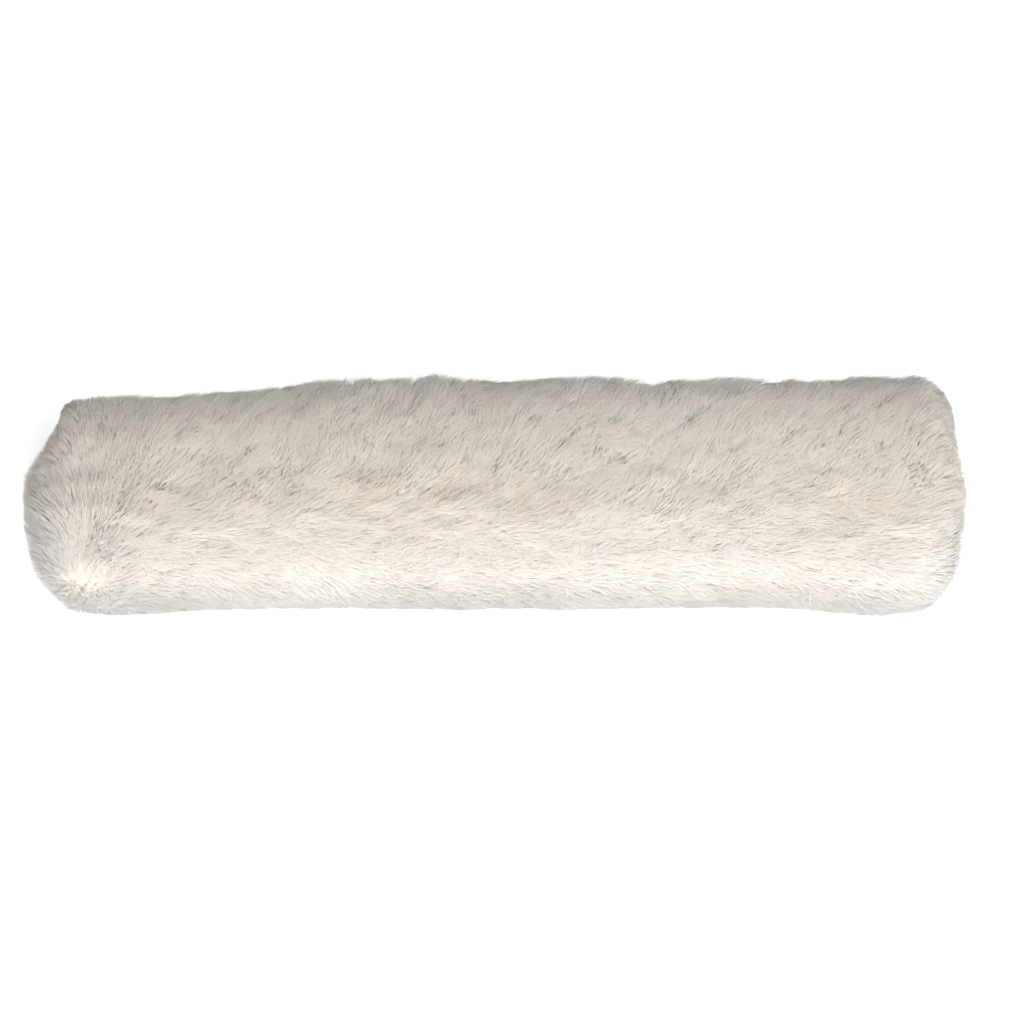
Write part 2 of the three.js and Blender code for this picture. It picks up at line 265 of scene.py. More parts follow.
def texture(tree, kind, **values):
    """A texture over the object's own coordinates, with its scale in cells to the metre."""
    place = tree.nodes.new("ShaderNodeTexCoord")
    node = tree.nodes.new(kind)
    for name, value in values.items():
        node.inputs[name].default_value = value
    tree.links.new(place.outputs["Object"], node.inputs["Vector"])
    return node


def noise(tree, scale, detail=3, roughness=0.5):
    node = texture(tree, "ShaderNodeTexNoise", Scale=scale, Detail=detail, Roughness=roughness)
    return node.outputs["Fac"]


def spread_values(tree, value, low, high):
    """A value whose range from low to high is stretched to 0 to 1."""
    node = tree.nodes.new("ShaderNodeMapRange")
    node.inputs["From Min"].default_value = low
    node.inputs["From Max"].default_value = high
    tree.links.new(value, node.inputs["Value"])
    return node.outputs["Result"]


def bump(tree, shader, height, strength, distance):
    node = tree.nodes.new("ShaderNodeBump")
    node.inputs["Strength"].default_value = strength
    node.inputs["Distance"].default_value = distance
    tree.links.new(height, node.inputs["Height"])
    tree.links.new(node.outputs["Normal"], shader.inputs["Normal"])


WHITE = (0.95, 0.94, 0.925)
IVORY = (0.95, 0.9, 0.825)
CREAM = (0.93, 0.86, 0.77)
TAN = (0.88, 0.715, 0.56)
# SHADED is painted shade: the cream towards which the locks' roots and the wool's body are darkened, as if
# the pile shaded its own depth
SHADED = (0.88, 0.83, 0.76)


def wool_material():
    """Ivory tips over roots darkened with painted shade, warmer in patches, with a slightly different tone
    for each lock. Towards the front it is whitened with painted light, and towards the ends with a paler
    tone.
    """
    material, tree, shader = new_material("wool")
    warm = mix_colours(tree, read_value(tree, "warmth"), CREAM, TAN)
    fine = spread_values(tree, noise(tree, 90, 4), 0.35, 0.65)
    body = mix_colours(tree, fine, warm, CREAM)
    tips = mix_colours(tree, read_value(tree, "tone"), body, IVORY)
    # painted light over the front, and a paler tone at the ends, both towards WHITE
    tips = mix_colours(tree, read_value(tree, "paleness"), tips, WHITE)
    # painted shade: each lock darkens towards SHADED at its root
    colour = mix_colours(tree, read_value(tree, "along"), SHADED, tips)
    tree.links.new(colour, shader.inputs["Base Color"])
    shader.inputs["Roughness"].default_value = 0.85
    shader.inputs["Specular IOR Level"].default_value = 0.15
    return material


# ---- wool ----

PILE_BODY_SHARE = 0.7  # the wool's soft body reaches this far from the hide to the tips
END_REACH = 38 * MM  # the tips reach this far past the end of the hide
END_ARC = 46 * MM  # measured over the wool's rounding at a mouth
WOOL_END = HIDE_HALF_LENGTH + END_ARC  # how far along the wool goes, measured over its rounding
END_TURN = math.radians(105)  # the wool turns this far round the end of the hide
BACK_TAPER = 23 * MM  # the wool behind the lip is this much shorter at the left end
FRONT_SHORTER = {"left": 0.55, "right": 0.42}  # of the reach, where the fold meets a mouth
FRONT_CORNER = math.radians(195)  # the angle of the section at which the fold's corners are cut most
BACK_SHORTER = {"left": 0.7, "right": 0.2}  # and where the lip does
BULGE = 5 * MM  # the wool over the fold is this much fuller near its ends
BULGE_AT = 0.79  # of half the length
SQUARENESS = {"over": 2.5, "under": 3.4}  # of the section: 2 is an ellipse, and more is squarer
LUMP = 3 * MM  # the wool's outside rises and falls about this much in soft lumps
SEAM_ANGLE = 0.012  # in radians, from the seam at the back to the locks on its faces
SEAM_PILE = 6 * MM  # the wool on the faces of the seam
MOUTH_LEAN = 35 * MM  # the wool begins to lean out of a mouth this far before the end of the hide
TUFT = 11 * MM  # across
LOCKS = 245000
EDGE_LOCKS = 9000  # on each of the seam's two faces, and in each mouth
LOCKS_IN_A_PIECE = 12000
LOCK_RADIUS = 0.18 * MM
LONGEST_SWEEP = 12 * MM  # the most that a lock leans sideways, before its tuft's lean multiplies it
LEAST_DEPTH = 5 * MM  # of the wool over a lock's root
BODY_GRID = 3 * MM  # between the points of the wool's body
LOCK_STEPS = 3
RING_SHARES = np.linspace(0, 1, LOCK_STEPS + 1)[:-1]  # how far along a lock each of its rings is
LOOSE_SHARE = 0.06  # of the locks, which stray from their tufts
SOFT_NORMAL = 0.91  # how far a lock takes the shade of the wool's surface, not of its own round side


def smooth_noise(x, y, size, seed):
    """Noise from -1 to 1 that changes over about size."""
    lattice = np.random.default_rng(seed).uniform(-1, 1, (257, 257))
    u, v = x / size + 128, y / size + 128
    i, j = np.floor(u).astype(int), np.floor(v).astype(int)
    fu, fv = u - i, v - j
    fu, fv = fu * fu * (3 - 2 * fu), fv * fv * (3 - 2 * fv)
    i, j = i % 256, j % 256
    low = lattice[i, j] * (1 - fu) + lattice[i + 1, j] * fu
    high = lattice[i, j + 1] * (1 - fu) + lattice[i + 1, j + 1] * fu
    return low * (1 - fv) + high * fv


def rounded_radius(angle, half_depth, half_height, squareness):
    """How far out the edge of a rounded rectangle is, at an angle up from +Y."""
    across = (np.abs(np.cos(angle)) / half_depth) ** squareness
    up = (np.abs(np.sin(angle)) / half_height) ** squareness
    return (across + up) ** (-1 / squareness)


def tips_radius(angle, x):
    """How far out the tips of the wool are, at an angle of the section and a place along the sleeve."""
    left = np.clip(-x / HALF_LENGTH, 0, 1)
    back = BACK_REACH - BACK_TAPER * left**1.6
    near_end = np.exp(-(((np.abs(x) / HALF_LENGTH - BULGE_AT) / 0.13) ** 2))
    front = FRONT_REACH + BULGE * near_end
    depth = np.where(np.cos(angle) > 0, back, front)
    over = np.sin(angle) > 0
    squareness = np.where(over, SQUARENESS["over"], SQUARENESS["under"])
    radius = rounded_radius(angle, depth, np.where(over, TOP, BOTTOM), squareness)
    lumps = smooth_noise(x, radius * angle, 60 * MM, 7)
    lumps = lumps + 0.5 * smooth_noise(x, radius * angle, 22 * MM, 8)
    return radius + LUMP * lumps * np.where(over, 1, 0.3)


def end_reach(angle, side):
    """How far the tips go past the hide, which is less at the corners of the sleeve."""
    shorter_front = np.where(side < 0, FRONT_SHORTER["left"], FRONT_SHORTER["right"])
    shorter_back = np.where(side < 0, BACK_SHORTER["left"], BACK_SHORTER["right"])
    front = shorter_front * np.clip(np.cos(angle - FRONT_CORNER), 0, 1) ** 10
    back = shorter_back * np.clip(np.cos(angle), 0, 1) ** 2.5
    return END_REACH * (1 - front - back)


def hide_radius(angle):
    return rounded_radius(angle, HIDE_HALF_DEPTH, HIDE_HALF_HEIGHT, 6)


def pile_point(angle, along, share):
    """A point in the wool. along is the distance along the sleeve, which at each end runs on round
    the mouth, and share goes from 0 on the hide to 1 at the tips."""
    past = np.clip((np.abs(along) - HIDE_HALF_LENGTH) / END_ARC, 0, 1) * END_TURN
    side = np.sign(along)
    reach = end_reach(angle, side) * (0.1 + 0.9 * share)
    x = np.where(past > 0, side * (HIDE_HALF_LENGTH + reach * np.sin(past)), along)
    inner = hide_radius(angle)
    radius = inner + (tips_radius(angle, x) - inner) * share * np.cos(past)
    return np.stack([x, radius * np.cos(angle), MID_Z + radius * np.sin(angle)], -1)


def unit(vectors):
    return vectors / np.maximum(np.linalg.norm(vectors, axis=-1, keepdims=True), 1e-12)


def pile_frame(angle, along, share):
    """A point in the wool, the way along the sleeve, the way round it over the top, and the way out."""
    turn, step = 1e-3, 0.2 * MM
    along_way = unit(pile_point(angle, along + step, share) - pile_point(angle, along - step, share))
    round_way = unit(pile_point(angle - turn, along, share) - pile_point(angle + turn, along, share))
    out = unit(np.cross(along_way, round_way))
    return pile_point(angle, along, share), along_way, round_way, out


# The angles of the section, with the length of its edge up to each.
ANGLES = np.linspace(0, 2 * math.pi, 721)
_edge = pile_point(ANGLES, np.zeros_like(ANGLES), np.full_like(ANGLES, 0.75))
EDGE = np.concatenate([[0], np.cumsum(np.linalg.norm(np.diff(_edge, axis=0), axis=1))])
_body = pile_point(ANGLES, np.zeros_like(ANGLES), np.full_like(ANGLES, PILE_BODY_SHARE))
FOLD_START = ANGLES[np.argmax(_body[:, 1] < FOLD_Y)]
FOLD_END = ANGLES[len(ANGLES) - 1 - np.argmax(_body[::-1, 1] < FOLD_Y)]


def body_of(angle):
    """0 for the flap's wool, 1 for the wool round the fold and 2 for the lower half's."""
    return np.where(angle < FOLD_START, 0, np.where(angle < FOLD_END, 1, 2))


def tufts(along, edge):
    """Each place's tuft: where its middle is from the place, and its number. Also how many there are."""
    rng = np.random.default_rng(11)
    rows = int(2 * WOOL_END / TUFT) + 4
    columns = max(3, round(EDGE[-1] / TUFT))
    width = EDGE[-1] / columns
    shift = rng.uniform(0.05, 0.95, (rows, columns, 2))
    u, v = (along + WOOL_END) / TUFT + 1, edge / width
    best = np.full(len(along), np.inf)
    away = np.zeros((len(along), 2))
    number = np.zeros(len(along), int)
    for row_step in (-1, 0, 1):
        for column_step in (-1, 0, 1):
            row = np.clip(np.floor(u).astype(int) + row_step, 0, rows - 1)
            column = np.floor(v).astype(int) + column_step
            wrapped = column % columns
            du = (row + shift[row, wrapped, 0] - u) * TUFT
            dv = (column + shift[row, wrapped, 1] - v) * width
            distance = du * du + dv * dv
            nearer = distance < best
            best = np.where(nearer, distance, best)
            away[nearer] = np.stack([du, dv], 1)[nearer]
            number = np.where(nearer, row * columns + wrapped, number)
    return away, number, rows * columns


def lean_angle(angle, along):
    """Which way the wool lies: 0 is along the sleeve, a quarter turn is over the top to the back."""
    swept = math.radians(12) + math.radians(38) * np.cos(angle - math.radians(55))
    left_end = np.clip((-along / HALF_LENGTH - 0.68) / 0.25, 0, 1)
    drift = smooth_noise(along, np.interp(angle, ANGLES, EDGE), 60 * MM, 21)
    return swept + math.radians(50) * left_end + math.radians(22) * drift


def warmth(along, edge):
    """How tan the wool is, in soft patches."""
    broad = smooth_noise(along, edge, 70 * MM, 31) + 0.5 * smooth_noise(along, edge, 24 * MM, 32)
    return np.clip(0.22 + 0.45 * broad, 0, 1)


def calm(angle):
    """From 0 over the top and the back, where wool is ruffled, to 1 over the front, where it is smooth."""
    return np.clip((angle - math.radians(75)) / math.radians(55), 0, 1) * (angle < math.radians(250))


def streaks(angle, along, edge):
    """From -1 to 1, in long patches that follow the sweep of the wool over the top."""
    sweep = math.radians(42)
    with_it = along * math.cos(sweep) - edge * math.sin(sweep)
    across_it = along * math.sin(sweep) + edge * math.cos(sweep)
    return smooth_noise(with_it / 4, across_it, 9 * MM, 71) * (1 - 0.85 * calm(angle))


def paleness(angle, along):
    """How far the wool is whitened, which grows towards the front edge and the ends: over the front this
    is painted light, where the key light falls, and at the ends a paler tone.
    """
    # painted light: whiter from the top down over the front, the side that faces the key light
    front = np.clip((angle - math.radians(125)) / math.radians(60), 0, 1)
    # a paler, less warm tone towards the ends
    end = np.clip((np.abs(along) / HALF_LENGTH - 0.8) / 0.2, 0, 1)
    return np.clip(0.85 * front + 0.3 * end, 0, 0.9)


def lock_roots(rng):
    """Where the locks grow: all over the wool's body, on the seam's two faces and in the mouths."""
    along = rng.uniform(-WOOL_END, WOOL_END, LOCKS)
    angle = np.interp(rng.uniform(0, EDGE[-1], LOCKS), EDGE, ANGLES)
    share = np.full(LOCKS, PILE_BODY_SHARE * 0.93)
    both = 2 * EDGE_LOCKS
    odd = np.arange(both) % 2 == 1
    seam_along = rng.uniform(-WOOL_END, WOOL_END, both)
    seam_angle = np.where(odd, SEAM_ANGLE, 2 * math.pi - SEAM_ANGLE)
    mouth_along = np.where(odd, WOOL_END, -WOOL_END) * rng.uniform(0.985, 1, both)
    mouth_angle = np.interp(rng.uniform(0, EDGE[-1], both), EDGE, ANGLES)
    inner_share = rng.uniform(0.05, PILE_BODY_SHARE, 2 * both)
    out_of_seam = np.zeros((LOCKS + 2 * both, 3))
    out_of_seam[LOCKS : LOCKS + both, 2] = np.where(odd, -1, 1)
    return (
        np.concatenate([angle, seam_angle, mouth_angle]),
        np.concatenate([along, seam_along, mouth_along]),
        np.concatenate([share, inner_share]),
        out_of_seam,
    )


def tuft_traits(number, count):
    """What the locks of one tuft share."""
    of_tuft = np.random.default_rng(12)
    return {
        "turn": of_tuft.normal(0, math.radians(15), count)[number],
        "lean": of_tuft.uniform(1.1, 1.9, count)[number],
        "height": of_tuft.uniform(0.86, 1.06, count)[number],
        "tone": of_tuft.uniform(0, 1, count)[number],
        "gather": of_tuft.uniform(0.0, 0.34, count)[number],
    }


def lock_ways(rng, angle, along, turn, loose):
    """The angle at which each lock lies on the wool."""
    way = lean_angle(angle, along) + turn + rng.normal(0, math.radians(13), len(angle))
    return way + loose * rng.normal(0, math.radians(50), len(angle))


def lock_middles(rng, root, ways, height, side):
    """Points down the middle of each lock, which rises, leans over to one side and curls a little."""
    along_way, round_way, out = ways
    total = len(root)
    curl = rng.uniform(0, 2 * math.pi, total)
    curl_size = rng.uniform(0.3, 1.1, total) * MM
    middle = np.empty((total, LOCK_STEPS + 1, 3))
    for i, t in enumerate(np.linspace(0, 1, LOCK_STEPS + 1)):
        rise = height * np.sin(t * math.pi / 2) ** 0.9
        wave = curl_size * t
        middle[:, i] = (
            root
            + out * rise[:, None]
            + side * t**1.6
            + along_way * (wave * np.cos(curl + 5 * t))[:, None]
            + round_way * (wave * np.sin(curl + 5 * t))[:, None]
        )
    floor = LOW[2] + rng.uniform(0.3, 2.2, total) * MM
    middle[:, :, 2] = np.maximum(middle[:, :, 2], floor[:, None])
    return middle


def grow_locks():
    """Every lock's points down its middle, with what its material needs to know."""
    rng = np.random.default_rng(5)
    angle, along, share, out_of_seam = lock_roots(rng)
    total = len(angle)
    edge = np.interp(angle, ANGLES, EDGE)
    root, along_way, round_way, out = pile_frame(angle, along, share)
    out = unit(out + 1.5 * out_of_seam)
    tips = pile_point(angle, along, np.ones(total))
    depth = np.maximum(((tips - root) * out).sum(1), LEAST_DEPTH)
    depth = np.where(out_of_seam[:, 2] != 0, SEAM_PILE, depth)

    away, number, count = tufts(along, edge)
    tuft = tuft_traits(number, count)
    ruffle = 1 - 0.6 * calm(angle)
    streak = streaks(angle, along, edge)
    loose = rng.random(total) < LOOSE_SHARE

    way = lock_ways(rng, angle, along, tuft["turn"] * ruffle, loose)
    near_mouth = (np.abs(along) - HIDE_HALF_LENGTH + MOUTH_LEAN) / (MOUTH_LEAN + END_ARC / 2)
    mouth = np.clip(near_mouth, 0, 1) ** 1.5
    lean_along = np.cos(way) * (1 - mouth) + np.sign(along) * mouth * 0.8
    lean_round = np.sin(way) * (1 - 0.5 * mouth)
    height = depth * (1 + (tuft["height"] - 1) * ruffle + 0.12 * streak)
    height = height * rng.uniform(0.86, 1.1, total) ** ruffle * np.where(loose, 1.12, 1)
    sweep = np.minimum(depth, LONGEST_SWEEP) * tuft["lean"] * rng.uniform(0.75, 1.2, total)
    sweep = sweep * (1 - 0.5 * mouth)
    gather = tuft["gather"] * (1 - 0.7 * calm(angle))
    side = (
        along_way * (lean_along * sweep + away[:, 0] * gather)[:, None]
        + round_way * (lean_round * sweep - away[:, 1] * gather)[:, None]
    )
    middle = lock_middles(rng, root, (along_way, round_way, out), height, side)
    tone = np.clip(tuft["tone"] * 0.4 + rng.uniform(0, 0.6, total) + 0.35 * streak, 0, 1)
    return {
        "middle": middle,
        "body": body_of(angle),
        "along": along,
        "tone": tone,
        "warmth": warmth(along, edge),
        "paleness": paleness(angle, along),
        "out": out,
    }


def lock_rings(middle):
    """The three points of each ring round each lock, from its foot to just below its tip."""
    count, rings = middle.shape[0], LOCK_STEPS
    way = unit(np.gradient(middle, axis=1))
    across = unit(np.cross(way, np.array([0.31, 0.52, 0.79])))
    other = np.cross(way, across)
    thickness = LOCK_RADIUS * np.random.default_rng(count).uniform(0.7, 1.3, count)
    radius = thickness[:, None] * (1 - RING_SHARES**1.6 * 0.75)
    corners = []
    for k in range(3):
        turn = 2 * math.pi * k / 3
        corners.append(
            middle[:, :rings]
            + across[:, :rings] * (radius * math.cos(turn))[..., None]
            + other[:, :rings] * (radius * math.sin(turn))[..., None]
        )
    return np.stack(corners, 2).reshape(count, rings * 3, 3)


def lock_faces():
    """The triangles of one lock: its foot, its sides and its tip."""
    faces = [(2, 1, 0)]
    for ring in range(LOCK_STEPS - 1):
        for k in range(3):
            a, b = ring * 3 + k, ring * 3 + (k + 1) % 3
            faces += [(a, b, b + 3), (a, b + 3, a + 3)]
    last = (LOCK_STEPS - 1) * 3
    faces += [(last + k, last + (k + 1) % 3, last + 3) for k in range(3)]
    return np.array(faces)


def lock_mesh(name, locks, chosen, material):
    """Three-sided tapering locks, closed at both ends."""
    middle = locks["middle"][chosen]
    count, rings = middle.shape[0], LOCK_STEPS
    ring_points = lock_rings(middle)
    points = np.concatenate([ring_points, middle[:, rings:]], 1)
    per_lock = rings * 3 + 1
    triangles = lock_faces()[None] + (np.arange(count) * per_lock)[:, None, None]
    made = triangle_mesh(name, points.reshape(-1, 3), triangles.reshape(-1, 3), material)
    outward = locks["out"][chosen][:, None]
    round_the_lock = unit(ring_points - np.repeat(middle[:, :rings], 3, 1))
    side_ways = unit(outward * SOFT_NORMAL + round_the_lock * (1 - SOFT_NORMAL))
    soft_normals(made, np.concatenate([side_ways, outward], 1).reshape(-1, 3))
    along = np.concatenate([np.repeat(RING_SHARES, 3), [1.0]])
    # painted shade: this value falls to 0.25 at a lock's root, where its material darkens it most towards
    # SHADED
    point_values(made, "along", np.tile(0.25 + 0.75 * np.minimum(1, along * 1.5), count))
    for value in ("tone", "warmth", "paleness"):
        point_values(made, value, np.repeat(locks[value][chosen], per_lock))
    return made


def wool_body(name, first, last, material):
    """The soft body under the locks, between two angles of the section: a closed shell from the hide
    to a tufted outside."""
    width = np.interp(last, ANGLES, EDGE) - np.interp(first, ANGLES, EDGE)
    columns, rows = max(6, int(width / BODY_GRID)), int(2 * WOOL_END / BODY_GRID)
    angles = np.linspace(first, last, columns)
    alongs = np.linspace(-WOOL_END, WOOL_END, rows)
    angle, along = [a.ravel() for a in np.meshgrid(angles, alongs)]
    edge = np.interp(angle, ANGLES, EDGE)
    away, _, _ = tufts(along, edge)
    crown = 1 - np.clip(np.linalg.norm(away, axis=1) / (0.75 * TUFT), 0, 1) ** 2
    relief = (0.1 * crown + 0.04 * smooth_noise(along, edge, 5 * MM, 41)) * (1 - 0.7 * calm(angle))
    share = PILE_BODY_SHARE * (0.93 + relief + 0.08 * streaks(angle, along, edge))
    outside = pile_point(angle, along, share)
    inside = pile_point(angle, along, np.full(len(angle), 0.02))
    outside[:, 2] = np.maximum(outside[:, 2], LOW[2] + 1 * MM)
    made = mesh_object(name, np.concatenate([outside, inside]), shell_faces(rows, columns), material)
    soft_normals(made, body_normals(angle, along, share))
    count = 2 * rows * columns
    # painted shade on the body under the locks, which is darkened part of the way towards SHADED
    point_values(made, "along", np.full(count, 0.45))
    point_values(made, "tone", np.full(count, 0.35))
    point_values(made, "warmth", np.tile(warmth(along, edge), 2))
    point_values(made, "paleness", np.tile(paleness(angle, along), 2))
    return made


def grid_faces(rows, columns):
    """The four-sided faces between neighbouring points of a grid."""
    corner = np.arange(rows * columns).reshape(rows, columns)[:-1, :-1].ravel()
    return np.stack([corner, corner + 1, corner + columns + 1, corner + columns], 1)


def shell_faces(rows, columns):
    """The faces of a closed shell between two grids of points, the outer and then the inner."""
    count = rows * columns
    outer = grid_faces(rows, columns)
    grid = np.arange(count).reshape(rows, columns)
    rim = np.concatenate([grid[0], grid[1:, -1], grid[-1, -2::-1], grid[-2:0:-1, 0]])
    onward = np.roll(rim, -1)
    sides = np.stack([onward, rim, count + rim, count + onward], 1)
    return np.concatenate([outer, count + outer[:, ::-1], sides]).tolist()


def body_normals(angle, along, share):
    """The way that each point of a wool body faces, for its outer and then its inner grid. Along the
    seam and the mouths, where the body is cut off, its points face out of the cut."""
    inside_seam = np.clip(angle, SEAM_ANGLE, ANGLES[-1] - SEAM_ANGLE)
    _, along_way, _, out = pile_frame(inside_seam, along, share)
    edge_way = np.zeros_like(out)
    edge_way[:, 2] = (angle == ANGLES[-1]) * 1.0 - (angle == ANGLES[0])
    edge_way += along_way * ((along == WOOL_END) * 1.0 - (along == -WOOL_END))[:, None]
    on_the_rim = np.linalg.norm(edge_way, axis=1) > 0
    outer_way = np.where(on_the_rim[:, None], unit(edge_way * 0.8 + out * 0.4), out)
    inner_way = np.where(on_the_rim[:, None], unit(edge_way), -out)
    return np.concatenate([outer_way, inner_way])


def attach(piece, body):
    """Makes a piece of wool move with its half of the sleeve. body is 0, 1 or 2, as body_of gives it.
    The wool round the fold, 1, moves with the sleeve and gets a mesh of its own."""
    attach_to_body(piece, "flap" if body == 0 else "sleeve")
    if body == 1:
        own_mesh(piece)


def make_wool():
    """The wool's three soft bodies, and the locks that grow from each."""
    material = wool_material()
    places = ("upper", "fold", "lower")
    spans = ((0, FOLD_START), (FOLD_START, FOLD_END), (FOLD_END, 2 * math.pi))
    for body, (place, (first, last)) in enumerate(zip(places, spans)):
        piece = wool_body(f"{place}_wool_body", first, last, material)
        attach(piece, body)
        fringes = ("sleeve_upper_left_fringe", "sleeve_upper_right_fringe") if place == "upper" else ()
        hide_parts(f"sleeve_{place}_wool", *fringes)
    locks = grow_locks()
    for body, place in enumerate(places):
        members = np.flatnonzero(locks["body"] == body)
        members = members[np.argsort(locks["along"][members], kind="stable")]
        pieces = math.ceil(len(members) / LOCKS_IN_A_PIECE)
        for i, chosen in enumerate(np.array_split(members, pieces)):
            attach(lock_mesh(f"{place}_wool_locks_{i + 1}", locks, chosen, material), body)


# ---- shapes of the things inside: each gives points and faces ----


def join_shapes(*shapes):
    """Several shapes as one."""
    points, faces, base = [], [], 0
    for some_points, some_faces in shapes:
        points.append(np.asarray(some_points, float))
        faces += [tuple(corner + base for corner in face) for face in some_faces]
        base += len(some_points)
    return np.concatenate(points), faces


def with_dense_ends(low, high, edge, step):
    """Places from low to high, close together where an edge is rounded and step apart between."""
    near = edge * (1 - np.cos(np.linspace(0, math.pi / 2, 6)))
    count = max(2, int((high - low - 2 * edge) / step))
    middle = np.linspace(low + edge, high - edge, count + 1)[1:-1]
    return np.concatenate([low + near, middle, (high - near)[::-1]])


def round_corners(x, y, half, corner):
    """Moves the points of a rectangle's grid so that its corners are round. It also gives how far
    each point is from the edge."""
    a = np.clip((np.abs(x) - half[0] + corner) / corner, 0, 1)
    b = np.clip((np.abs(y) - half[1] + corner) / corner, 0, 1)
    both = (a > 0) & (b > 0)
    round_a, round_b = a * np.sqrt(1 - b * b / 2), b * np.sqrt(1 - a * a / 2)
    x = np.where(both, np.sign(x) * (half[0] - corner + corner * round_a), x)
    y = np.where(both, np.sign(y) * (half[1] - corner + corner * round_b), y)
    from_sides = np.minimum(half[0] - np.abs(x), half[1] - np.abs(y))
    return x, y, np.where(both, corner * (1 - np.hypot(round_a, round_b)), from_sides)


def slab(low, high, corner, edge=None, step=4 * MM, unevenness=0.0, ribs=0):
    """A flat rounded piece between two corners of its box, with an edge rounded over a distance."""
    low, high = np.array(low, float), np.array(high, float)
    centre, half = (low + high) / 2, (high - low) / 2
    edge = min(edge or half[2], half[0] * 0.98, half[1] * 0.98)
    xs = with_dense_ends(-half[0], half[0], edge, step)
    ys = with_dense_ends(-half[1], half[1], edge, min(step, half[1] / 2))
    x, y = [a.ravel() for a in np.meshgrid(xs, ys, indexing="ij")]
    x, y, inward = round_corners(x, y, half, corner)
    rise = half[2] * np.sqrt(1 - (1 - np.clip(inward / edge, 0, 1)) ** 2)
    uneven = unevenness * smooth_noise(x + centre[0], y + centre[1], 11 * MM, 51)
    uneven = uneven * np.clip(inward / edge, 0, 1)
    rise = rise - np.abs(uneven)
    if ribs:
        rise = rise * (1 - 0.12 * (1 + np.cos(2 * math.pi * ribs * (y / half[1]))) / 2)
    top = np.stack([x, y, rise], 1) + centre
    bottom = np.stack([x, y, -rise], 1) + centre
    return close_slab(top, bottom, len(xs), len(ys))


def close_slab(top, bottom, rows, columns):
    """Two grids of points as one closed skin. They share the top's points along their edge."""
    count = rows * columns
    on_rim = np.zeros((rows, columns), bool)
    on_rim[[0, -1], :] = True
    on_rim[:, [0, -1]] = True
    under = np.where(on_rim.ravel(), np.arange(count), np.arange(count) + count)
    faces = grid_faces(rows, columns)
    faces = np.concatenate([faces[:, ::-1], under[faces]])
    used, new_faces = np.unique(faces, return_inverse=True)
    points = np.concatenate([top, bottom])[used]
    return points, new_faces.reshape(-1, 4).tolist()


def strap(path, across, start, stop, thickness, closed=False, step=6 * MM, unevenness=0.0):
    """A band that follows a path and runs from start to stop in the direction across."""
    path, across = np.asarray(path, float), np.asarray(across, float)
    thickness = np.broadcast_to(thickness, len(path)) / 2
    if closed:
        way = unit(np.roll(path, -1, 0) - np.roll(path, 1, 0))
    else:
        way = unit(np.gradient(path, axis=0))
    out = np.cross(way, across)
    edge = min(float(thickness.max()), (stop - start) * 0.4)
    places = with_dense_ends(start, stop, edge, step)
    inward = np.minimum(places - start, stop - places)
    rise = np.sqrt(1 - (1 - np.clip(inward / edge, 0, 1)) ** 2)
    places = np.concatenate([places, places[-2:0:-1]])
    rise = np.concatenate([rise, -rise[-2:0:-1]])
    rise_out = out[:, None] * (thickness[:, None] * rise)[..., None]
    points = path[:, None] + across * places[None, :, None] + rise_out
    if unevenness:
        walked = np.cumsum(np.linalg.norm(np.diff(path, axis=0, prepend=path[:1]), axis=1))
        x, y = np.meshgrid(walked, places, indexing="ij")
        points = points + out[:, None] * (unevenness * smooth_noise(x, y, 13 * MM, 61))[..., None]
    return points.reshape(-1, 3), tube_faces(len(path), len(places), closed)


def tube_faces(rings, sides, closed=False):
    """The faces between rings of points. Unless the last ring meets the first, a face covers each end."""
    faces = []
    for i in range(rings if closed else rings - 1):
        for j in range(sides):
            a, b, k = i * sides, (i + 1) % rings * sides, (j + 1) % sides
            faces.append((a + j, b + j, b + k, a + k))
    if not closed:
        faces.append(tuple(range(sides)))
        faces.append(tuple(range((rings - 1) * sides, rings * sides))[::-1])
    return faces


def rod(path, radius, sides=20, flatness=1.0):
    """A round bar along a path, whose radius may change along it."""
    path = np.asarray(path, float)
    radius = np.broadcast_to(radius, len(path))
    way = unit(np.gradient(path, axis=0))
    guide = np.array([0, 0, 1.0]) if abs(way[0][2]) < 0.9 else np.array([0, 1.0, 0])
    side = unit(np.cross(way, guide))
    up = np.cross(side, way)
    turn = np.linspace(0, 2 * math.pi, sides, endpoint=False)
    ring = side[:, None] * np.cos(turn)[None, :, None]
    ring = ring + up[:, None] * (flatness * np.sin(turn))[None, :, None]
    points = (path[:, None] + ring * radius[:, None, None]).reshape(-1, 3)
    return points, tube_faces(len(path), sides)


def arc(x, y, radius, start, stop, steps, side):
    """Points round a place at mid height, at angles in degrees from the way that side points."""
    turns = np.radians(np.linspace(start, stop, steps))
    return [(x + side * radius * math.cos(t), y, MID_Z + radius * math.sin(t)) for t in turns]


STITCH = 3.4 * MM
STITCH_GAP = 0.9 * MM
THREAD_RADIUS = 0.42 * MM
STITCH_DIP = np.array([0, 0, 0.35 * MM])  # of a stitch's ends below its middle


def stitching(corners):
    """Stitches along a line of corners, each a short bowed length of thread."""
    shapes = []
    for a, b in zip(corners, corners[1:]):
        a, b = np.array(a, float), np.array(b, float)
        length = np.linalg.norm(b - a)
        count = max(1, int(length / (STITCH + STITCH_GAP)))
        way = (b - a) / length
        for i in range(count):
            middle = a + way * length * (i + 0.5) / count
            reach = np.linspace(-1, 1, 7)
            path = middle + way * (reach * STITCH / 2)[:, None] - STITCH_DIP * (reach**2)[:, None]
            shapes.append(rod(path, THREAD_RADIUS * np.sqrt(1.05 - reach**2), 6))
    return join_shapes(*shapes)


